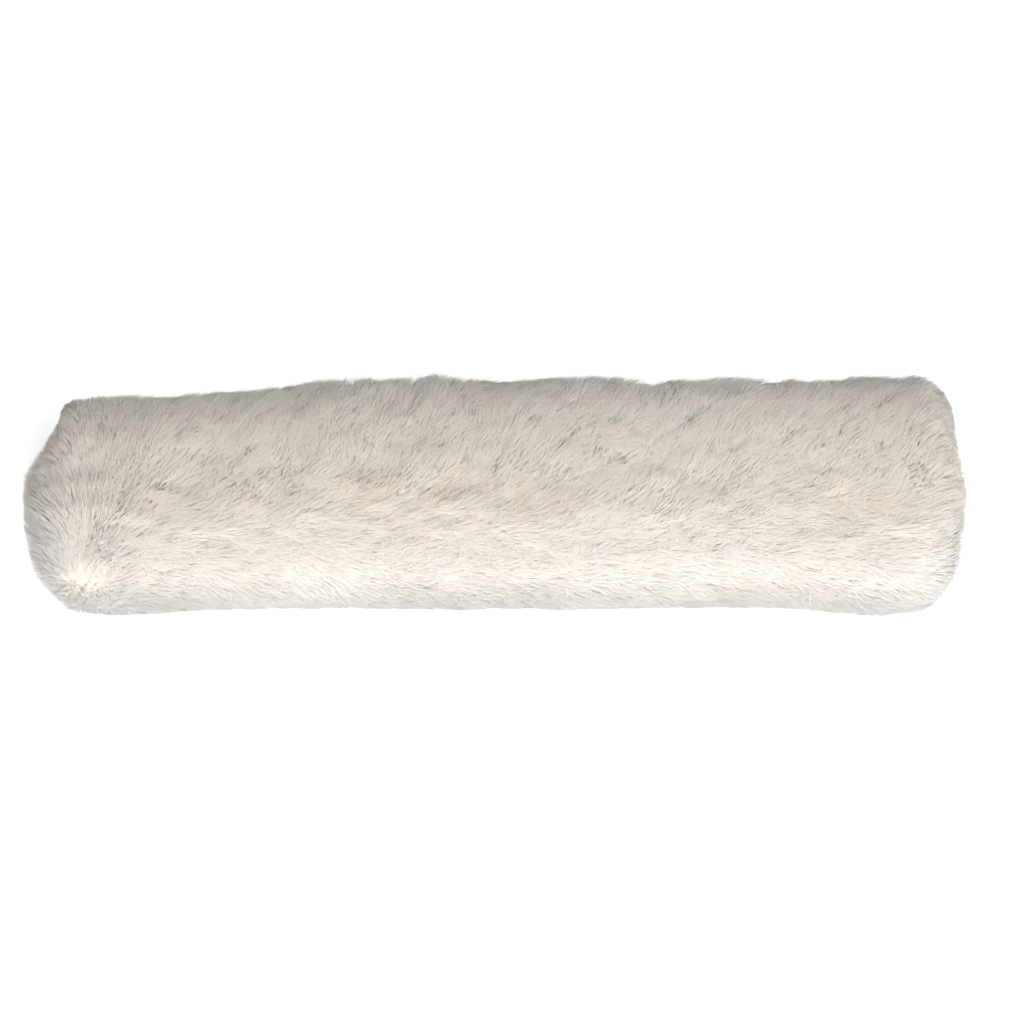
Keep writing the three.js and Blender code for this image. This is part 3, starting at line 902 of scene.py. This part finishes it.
def border(low, high, inset, z):
    """The corners of a closed line inside a box's edges."""
    x0, y0, x1, y1 = low[0] + inset, low[1] + inset, high[0] - inset, high[1] - inset
    cut = 5 * MM
    left = [(x0, y1 - cut, z), (x0, y0 + cut, z)]
    front = [(x0 + cut, y0, z), (x1 - cut, y0, z)]
    right = [(x1, y0 + cut, z), (x1, y1 - cut, z)]
    back = [(x1 - cut, y1, z), (x0 + cut, y1, z)]
    return front + right + back + left + front[:1]


# ---- materials inside the sleeve ----


def voronoi(tree, scale):
    return texture(tree, "ShaderNodeTexVoronoi", Scale=scale).outputs["Distance"]


def bands(tree, direction, scale):
    node = texture(tree, "ShaderNodeTexWave", Scale=scale, Distortion=0.6)
    node.bands_direction = direction
    return node.outputs["Fac"]


def multiply(tree, a, b):
    node = tree.nodes.new("ShaderNodeMath")
    node.operation = "MULTIPLY"
    tree.links.new(a, node.inputs[0])
    tree.links.new(b, node.inputs[1])
    return node.outputs["Value"]


def mottled(name, dark, light, roughness, patch, grain, depth, metallic=0):
    """A material of two close tones in soft patches. grain is a kind of texture with its settings."""
    material, tree, shader = new_material(name)
    tones = spread_values(tree, noise(tree, patch, 5), 0.3, 0.7)
    tree.links.new(mix_colours(tree, tones, dark, light), shader.inputs["Base Color"])
    shader.inputs["Roughness"].default_value = roughness
    shader.inputs["Metallic"].default_value = metallic
    kind, *settings = grain
    bump(tree, shader, kind(tree, *settings), 0.6, depth)
    return material


def woven(name, dark, light, scale, depth):
    material, tree, shader = new_material(name)
    weave = multiply(tree, bands(tree, "X", scale), bands(tree, "Y", scale))
    tree.links.new(mix_colours(tree, weave, dark, light), shader.inputs["Base Color"])
    shader.inputs["Roughness"].default_value = 0.85
    bump(tree, shader, weave, 0.8, depth)
    return material


# The tones of each material, its roughness, the scale of its patches, its grain and the grain's depth.
MOTTLED = {
    "suede": ((0.56, 0.43, 0.29), (0.7, 0.57, 0.42), 0.95, 35, (noise, 700, 4, 0.7), 0.3 * MM),
    "leather": ((0.075, 0.032, 0.015), (0.15, 0.068, 0.032), 0.48, 28, (voronoi, 900), 0.12 * MM),
    "foam": ((0.52, 0.5, 0.46), (0.66, 0.64, 0.6), 0.95, 60, (voronoi, 1200), 0.3 * MM),
    "steel": ((0.66, 0.66, 0.67), (0.76, 0.76, 0.77), 0.24, 90, (noise, 250, 2), 0.02 * MM, 1),
    "thread": ((0.68, 0.6, 0.46), (0.82, 0.76, 0.62), 0.8, 300, (noise, 2500, 2), 0.1 * MM),
    "loops": ((0.7, 0.66, 0.58), (0.82, 0.79, 0.71), 0.95, 200, (noise, 1500, 6, 0.8), 0.5 * MM),
    "hooks": ((0.66, 0.63, 0.56), (0.76, 0.73, 0.66), 0.6, 150, (noise, 900, 3), 0.2 * MM),
}
# The tones of each weave, the scale of its threads and their depth.
WOVEN = {
    "binding": ((0.55, 0.48, 0.37), (0.78, 0.72, 0.6), 420, 0.25 * MM),
    "webbing": ((0.46, 0.4, 0.3), (0.72, 0.65, 0.52), 160, 0.4 * MM),
    "elastic": ((0.5, 0.45, 0.36), (0.8, 0.75, 0.65), 300, 0.3 * MM),
}
MATERIALS = {name: mottled(name, *look) for name, look in MOTTLED.items()}
MATERIALS |= {name: woven(name, *look) for name, look in WOVEN.items()}


def piece_of(name, shape, material, body, *nodes, slot=None):
    """A piece of one material, which moves with a body of the frame and replaces nodes of the CAD."""
    made = mesh_object(name, shape[0], shape[1], MATERIALS[material])
    if body:
        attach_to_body(made, body)
    if nodes:
        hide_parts(*nodes)
    return made


# ---- the hide and its closure ----

HIDE_THICKNESS = 2 * MM
TAPE_GAP = 0.3 * MM  # between a closure tape and the lip it is sewn to
HIDE_TURN = 4 * MM  # from a corner of the hide's section to where its bend begins
BINDING_THICKNESS = 0.6 * MM  # on each face of the hide
LIP_SEAM_INSET = 3 * MM  # from the edges of a closure tape to its rows of stitches


def hide_path():
    """The line down the middle of the hide, from the flap's lip round the fold to the lower lip."""
    tape_low, tape_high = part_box("sleeve_loop_tape")
    inset, turn = HIDE_THICKNESS / 2, HIDE_TURN
    lip_z = (tape_high[2] - MID_Z) + TAPE_GAP + inset
    outer = HIDE_HALF_HEIGHT - inset
    wall_y = tape_low[1] - inset
    front_y = HIDE_FRONT + inset
    half = [(HIDE_HALF_DEPTH, lip_z), (wall_y + turn, lip_z)]
    half += bend((wall_y + turn, lip_z), (wall_y, lip_z), (wall_y, lip_z + turn))
    half += bend((wall_y, outer - turn), (wall_y, outer), (wall_y - turn, outer))
    half += [(y, outer) for y in np.linspace(wall_y - 2 * turn, front_y + 2 * turn, 16)]
    half += bend((front_y + turn, outer), (front_y, outer), (front_y, outer - turn))
    half += [(front_y, outer * share) for share in (0.5, 0.3, 0.12)]
    whole = half + [(front_y, 0)] + [(y, -z) for y, z in half[::-1]]
    return np.array([(0, y, MID_Z + z) for y, z in whole])


def bend(start, corner, stop):
    """A rounded corner, in Y and Z."""
    points = []
    for t in np.linspace(0, 1, 6):
        y = (1 - t) ** 2 * start[0] + 2 * t * (1 - t) * corner[0] + t * t * stop[0]
        z = (1 - t) ** 2 * start[1] + 2 * t * (1 - t) * corner[1] + t * t * stop[1]
        points.append((y, z))
    return points


def bend_at_fold(piece):
    """Bakes a piece's place into the points of its mesh, for a piece that lies across the fold."""
    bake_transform(piece)


def make_hide():
    """The hide, and the tapes that bind its raw ends."""
    path = hide_path()
    reach = HIDE_HALF_LENGTH
    skin = strap(path, (1, 0, 0), -reach, reach, HIDE_THICKNESS, unevenness=0.15 * MM)
    hide = piece_of("sleeve_hide", skin, "suede", None, "sleeve_lower_hide", "sleeve_upper_hide")
    bend_at_fold(hide)
    bound = HIDE_THICKNESS + 2 * BINDING_THICKNESS
    for end in ("left", "right"):
        low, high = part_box(f"sleeve_upper_{end}_binding")
        tape = strap(path, (1, 0, 0), low[0], high[0], bound, step=1 * MM)
        nodes = [f"sleeve_{half}_{end}_binding" for half in ("upper", "lower")]
        bend_at_fold(piece_of(f"{end}_binding", tape, "binding", None, *nodes))


HOOK_PITCH = 2.6 * MM
HOOK_RADIUS = 0.17 * MM


def hook(x, y, z, height):
    """A bristle with its tip bent over."""
    lean = 0.9 * height
    path = [
        (x, y, z),
        (x, y, z + height * 0.6),
        (x + lean * 0.4, y, z + height * 0.92),
        (x + lean, y, z + height * 0.7),
    ]
    return rod(path, HOOK_RADIUS, 5)


def make_closure():
    """The hook tape and the loop tape, each sewn to its lip."""
    low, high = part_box("sleeve_hook_tape")
    base = 0.55 * (high[2] - low[2])
    ground = slab(low, (high[0], high[1], low[2] + base), 1 * MM)
    height = high[2] - low[2] - base
    pitch = HOOK_PITCH * 1
    shapes = [ground]
    for x in np.arange(low[0] + 3 * MM, high[0] - 3 * MM, pitch):
        for y in np.arange(low[1] + 2 * MM, high[1] - 2 * MM, pitch):
            shapes.append(hook(x, y, low[2] + base * 0.9, height))
    hooks = join_shapes(*shapes)
    piece_of("hook_tape", hooks, "hooks", "sleeve", "sleeve_hook_tape")
    low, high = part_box("sleeve_loop_tape")
    loops = slab(low, high, 1 * MM, step=1.5 * MM, unevenness=0.25 * MM)
    piece_of("loop_tape", loops, "loops", "flap", "sleeve_loop_tape")
    for half, body in (("upper", "flap"), ("lower", "sleeve")):
        tape_low, tape_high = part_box("sleeve_loop_tape" if half == "upper" else "sleeve_hook_tape")
        make_closure_seam(half, body, tape_low, tape_high)


def make_closure_seam(half, body, low, high):
    """The two rows of stitches that show on the outside of the lip."""
    side = 1 if half == "upper" else -1
    z = (high[2] if half == "upper" else low[2]) + side * (HIDE_THICKNESS + 0.45 * MM)
    rows = []
    for y in (low[1] + LIP_SEAM_INSET, high[1] - LIP_SEAM_INSET):
        rows.append(stitching([(low[0] + 4 * MM, y, z), (high[0] - 4 * MM, y, z)]))
    piece_of(f"{half}_lip_stitching", join_shapes(*rows), "thread", body, slot="closure_tape")


# ---- the girth's body ----

LINING_THICKNESS = 1.6 * MM
EDGE_SEAM = 4 * MM  # from the edges of the outer leather to the stitches round it
WEB_SEAM = 22 * MM  # from the girth's middle to the seams that hold its web
SEAM_RISE = 0.1 * MM  # of a thread's middle over the leather


def tray_path(low, high, thickness):
    """The lining's section, up one side, across the floor and up the other side."""
    half = thickness / 2
    y0, y1, floor, rim = low[1] + half, high[1] - half, low[2] + half, high[2]
    turn = 6 * MM
    path = [(y0, z) for z in np.linspace(rim, floor + turn, 4)]
    path += bend((y0, floor + turn), (y0, floor), (y0 + turn, floor))
    path += [(y, floor) for y in np.linspace(y0 + 2 * turn, y1 - 2 * turn, 12)]
    path += bend((y1 - turn, floor), (y1, floor), (y1, floor + turn))
    path += [(y1, z) for z in np.linspace(floor + turn, rim, 4)]
    return [(0, y, z) for y, z in path]


def make_girth_body():
    """From the bottom up: the lining, a pad, the web, another pad and the outer leather."""
    low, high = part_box("girth_lining")
    path = tray_path(low, high, LINING_THICKNESS)
    tray = strap(path, (1, 0, 0), low[0], high[0], LINING_THICKNESS, unevenness=0.1 * MM)
    piece_of("girth_soft_lining", tray, "leather", "girth", "girth_lining")
    for half, edge in (("lower", 4 * MM), ("upper", 2.2 * MM)):
        low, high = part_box(f"girth_{half}_pad")
        pad = slab(low, high, 8 * MM, edge, unevenness=0.3 * MM)
        made = piece_of(f"girth_{half}_foam", pad, "foam", "girth", f"girth_{half}_pad")
    low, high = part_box("girth_web")
    web = slab(low, high, 1.5 * MM, step=3 * MM)
    piece_of("girth_woven_web", web, "webbing", "girth", "girth_web")
    low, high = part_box("girth_outer_leather")
    outer = slab(low, high, 12 * MM, unevenness=0.12 * MM)
    piece_of("girth_outer", outer, "leather", "girth", "girth_outer_leather")
    make_girth_seams(low, high)


def make_girth_seams(low, high):
    """Stitches round the outer leather, and the two rows that hold the web under it."""
    z = high[2] + SEAM_RISE
    seams = [stitching(border(low, high, EDGE_SEAM, z))]
    middle = (low[1] + high[1]) / 2
    for y in (middle - WEB_SEAM, middle + WEB_SEAM):
        seams.append(stitching([(low[0] + 12 * MM, y, z), (high[0] - 12 * MM, y, z)]))
    piece_of("girth_stitching", join_shapes(*seams), "thread", "girth")


# ---- the girth's ends ----

ELASTIC_RIBS = 14  # across half of its width
TONGUE_SLOT = 3.5 * MM  # from the middle of a chape to each side of its slot
CHAPE_NECK = 6.2 * MM  # from the bar to where the two layers of a chape part
CHAPE_THICKNESS = 2 * MM  # round the bar
CHAPE_SKIVED = 1.36 * MM  # where its two layers lie together
CHAPE_LAYER = 0.72 * MM  # from the middle of a chape to the middle of each layer
KEEPER_WALL = 1.5 * MM
BUCKLE_RAIL = 3.8 * MM
RAIL_EDGE = 1.4 * MM
RAIL_CORNER = 1.85 * MM
BAR_RADIUS = 2.4 * MM
PIN_RADIUS = 2 * MM
ROLLER_BORE = 2.5 * MM
ROLLER_SIDES = 36
ROLLER_LIP = 0.35 * MM  # to which the roller's edges are turned in
TONGUE_EYE = 3.9 * MM  # the radius of the loop round the bar
TONGUE_WIRE = 1.05 * MM
TONGUE_GAP = 0.25 * MM  # between the tongue and the roller
TAB_SEAM = 3 * MM  # from the edges of a tab to its stitches


def make_end(end):
    """The elastic, the two leathers of the tab, and the two buckles with their straps and keepers."""
    side = -1 if end == "left" else 1
    tab = f"{end}_tab"
    low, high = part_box(f"{end}_elastic")
    band = slab(low, high, 1.5 * MM, step=2 * MM, ribs=ELASTIC_RIBS)
    elastic = piece_of(f"{end}_elastic_band", band, "elastic", None, f"{end}_elastic")
    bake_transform(elastic)
    for half, up in (("upper", 1), ("lower", -1)):
        low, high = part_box(f"{end}_{half}_tab")
        leather = slab(low, high, 5 * MM, unevenness=0.08 * MM)
        piece_of(f"{end}_{half}_leather_tab", leather, "leather", tab, f"{end}_{half}_tab")
        z = (high[2] if up > 0 else low[2]) + up * 0.05 * MM
        seam = stitching(border(low, high, TAB_SEAM, z))
        piece_of(f"{end}_{half}_tab_stitching", seam, "thread", tab)
    for place in ("front", "back"):
        make_chape(end, place, side)
        make_keeper(end, place)
        make_buckle(end, place, side)


def make_chape(end, place, side):
    """The strap folded round the buckle's bar, with a slot for the tongue."""
    low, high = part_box(f"{end}_{place}_chape")
    bar = joint_place(f"{end}_{place}_buckle_hinge")
    y = bar[1]
    half_width = (high[1] - low[1]) / 2
    loop_radius = (high[2] - low[2]) / 2 - 1 * MM
    start = low[0] if side > 0 else high[0]
    neck = bar[0] - side * CHAPE_NECK
    over = [(x, 0, MID_Z + CHAPE_LAYER) for x in np.linspace(start, neck, 6)]
    under = [(x, 0, z - 2 * CHAPE_LAYER) for x, _, z in over]
    ring = arc(bar[0], 0, loop_radius, 150, -150, 26, side)
    path = np.array(over + ring + under[::-1])
    thick = np.full(len(path), CHAPE_THICKNESS)
    thick[: len(over)] = thick[-len(under) :] = CHAPE_SKIVED
    ears = [
        strap(path, (0, 1, 0), y - half_width, y - TONGUE_SLOT, thick, step=2 * MM),
        strap(path, (0, 1, 0), y + TONGUE_SLOT, y + half_width, thick, step=2 * MM),
    ]
    tails = []
    for tail in (over, under):
        tails.append(strap(tail, (0, 1, 0), y - TONGUE_SLOT, y + TONGUE_SLOT, 1.3 * MM, step=2 * MM))
    shape = join_shapes(*ears, *tails)
    name = f"{end}_{place}_buckle_strap"
    piece_of(name, shape, "leather", f"{end}_tab", f"{end}_{place}_chape")


def make_keeper(end, place):
    """A flat leather loop on the tab, for the loose end of a billet strap."""
    low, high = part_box(f"{end}_{place}_keeper")
    wall = KEEPER_WALL
    y0, y1, z0, z1 = low[1] + wall / 2, high[1] - wall / 2, low[2] + wall / 2, high[2] - wall / 2
    turn = 2 * MM
    path = []
    corners = ((y0, z0), (y1, z0), (y1, z1), (y0, z1))
    for i, corner in enumerate(corners):
        before, after = corners[i - 1], corners[(i + 1) % 4]
        entry = step_towards(corner, before, turn)
        leave = step_towards(corner, after, turn)
        path += bend(entry, corner, leave)
    path = [(0, y, z) for y, z in path]
    loop = strap(path, (1, 0, 0), low[0], high[0], wall, closed=True, step=2 * MM)
    name = f"{end}_{place}_strap_keeper"
    piece_of(name, loop, "leather", f"{end}_tab", f"{end}_{place}_keeper")


def step_towards(start, stop, distance):
    length = math.dist(start, stop)
    return tuple(a + (b - a) * distance / length for a, b in zip(start, stop))


def make_buckle(end, place, side):
    """A steel frame of two rails, with the bar in its chape and the pin in its roller."""
    name = f"{end}_{place}_buckle"
    low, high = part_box(f"{name}_frame")
    bar = joint_place(f"{end}_{place}_buckle_hinge")
    pin = joint_place(f"{end}_{place}_roller_spin")
    inner_low, inner_high = low[1] + BUCKLE_RAIL, high[1] - BUCKLE_RAIL
    rails = [
        slab(low, (high[0], inner_low, high[2]), RAIL_CORNER, RAIL_EDGE, step=3 * MM),
        slab((low[0], inner_high, low[2]), high, RAIL_CORNER, RAIL_EDGE, step=3 * MM),
    ]
    rods = []
    for x, radius in ((bar[0], BAR_RADIUS), (pin[0], PIN_RADIUS)):
        ends = np.linspace(low[1] + BUCKLE_RAIL / 2, high[1] - BUCKLE_RAIL / 2, 8)
        rods.append(rod([(x, y, MID_Z) for y in ends], radius, 28))
    shape = join_shapes(*rails, *rods)
    piece_of(f"{name}_steel", shape, "steel", name, f"{name}_frame")
    make_roller(end, place, pin)
    make_tongue(end, place, side, bar)


def make_roller(end, place, pin):
    """A rolled tube round the buckle's far bar."""
    name = f"{end}_{place}_buckle"
    low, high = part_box(f"{name}_roller")
    outer = (high[2] - low[2]) / 2
    inner, lip = ROLLER_BORE, ROLLER_LIP
    near = [(inner, lip), (inner + lip, 0), (outer - lip, 0), (outer, lip)]
    profile = [(r, low[1] + y) for r, y in near]
    profile += [(outer, (low[1] + high[1]) / 2)]
    profile += [(r, high[1] - y) for r, y in near[::-1]]
    points = []
    for turn in np.linspace(0, 2 * math.pi, ROLLER_SIDES, endpoint=False):
        points += [(pin[0] + r * math.cos(turn), y, MID_Z + r * math.sin(turn)) for r, y in profile]
    shape = points, tube_faces(ROLLER_SIDES, len(profile), closed=True)
    body = f"{end}_{place}_roller"
    piece_of(f"{name}_tube", shape, "steel", body, f"{name}_roller")


def make_tongue(end, place, side, bar):
    """A bent steel prong: an eye round the bar, and an arm that rests on the roller."""
    name = f"{end}_{place}_buckle"
    low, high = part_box(f"{name}_tongue")
    _, roller_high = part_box(f"{name}_roller")
    width = (high[1] - low[1]) / 2
    y = bar[1]
    eye = arc(bar[0], y, TONGUE_EYE, 55, 400, 30, side)
    tip_x = (high[0] if side > 0 else low[0]) - side * 0.4 * MM
    rest_z = roller_high[2] + TONGUE_GAP + TONGUE_WIRE
    arm_start = np.array(eye[-1])
    arm_end = np.array((tip_x, y, rest_z))
    arm = [arm_start * (1 - t) + arm_end * t for t in np.linspace(0.12, 1, 14)]
    for point in arm[:3]:
        point[2] = max(point[2], MID_Z + BAR_RADIUS + 0.3 * MM)
    path = np.array(eye + [tuple(p) for p in arm])
    thin = np.full(len(path), TONGUE_WIRE)
    thin[-1], thin[-2] = TONGUE_WIRE * 0.55, TONGUE_WIRE * 0.9
    shape = strap(path, (0, 1, 0), -width * 0.8, width * 0.8, 2 * thin, step=1 * MM)
    body = f"{end}_{place}_tongue"
    piece_of(f"{name}_prong", shape, "steel", body, f"{name}_tongue")


def make_inside():
    make_hide()
    make_closure()
    make_girth_body()
    for end in ("left", "right"):
        make_end(end)


make_camera()
make_light()
make_table()
make_inside()
make_wool()
